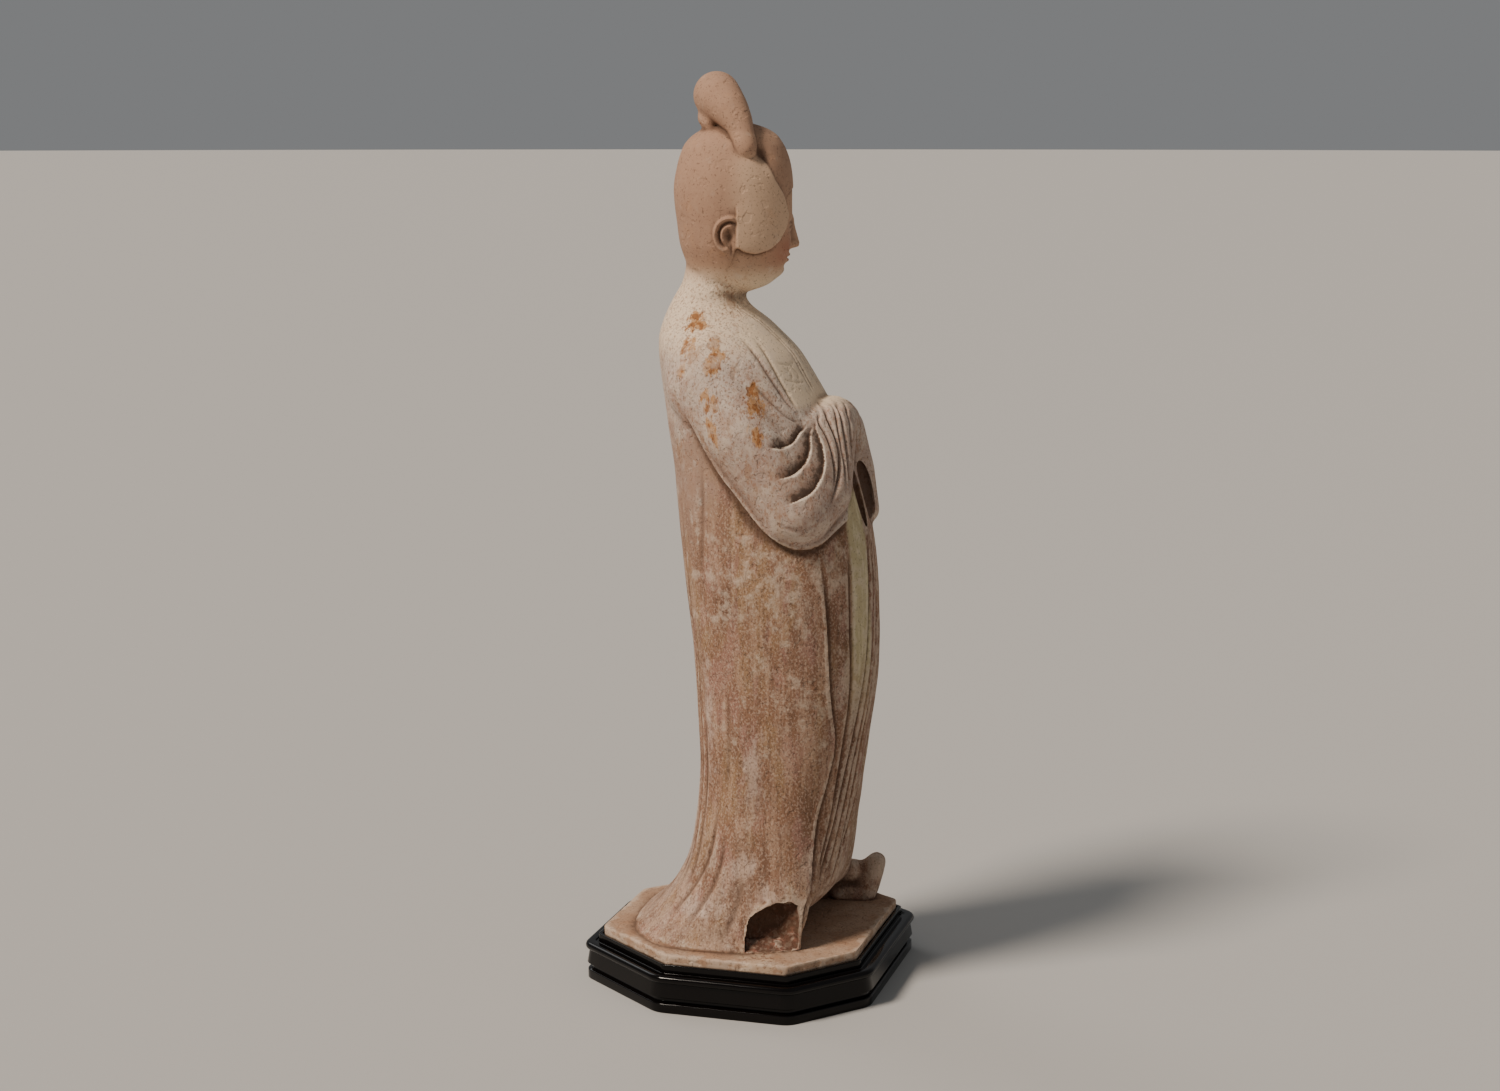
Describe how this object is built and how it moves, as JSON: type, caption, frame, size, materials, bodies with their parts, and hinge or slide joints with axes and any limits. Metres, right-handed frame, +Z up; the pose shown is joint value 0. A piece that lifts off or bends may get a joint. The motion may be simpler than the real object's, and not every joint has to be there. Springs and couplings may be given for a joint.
{
  "type": "tang court lady figure",
  "caption": "Standing pottery court lady with drooping hair knot, hands hidden in long sleeves, on a thin eight-sided slab in a black moulded wood stand.",
  "frame": {"origin": "middle of the wooden stand's flat underside", "axes": "+Z up the figure, she faces -Y, her left hand is towards +X"},
  "size_m": [0.2835, 0.2741, 0.7881],
  "materials": {
    "painted_earthenware": "unglazed low-fired buff earthenware with worn white slip and traces of earth pigments",
    "black_lacquered_wood": "turned and moulded hardwood under polished black lacquer"
  },
  "bodies": {
    "root": {"court_lady_figure": "painted_earthenware", "display_stand": "black_lacquered_wood"}
  },
  "joints": []
}
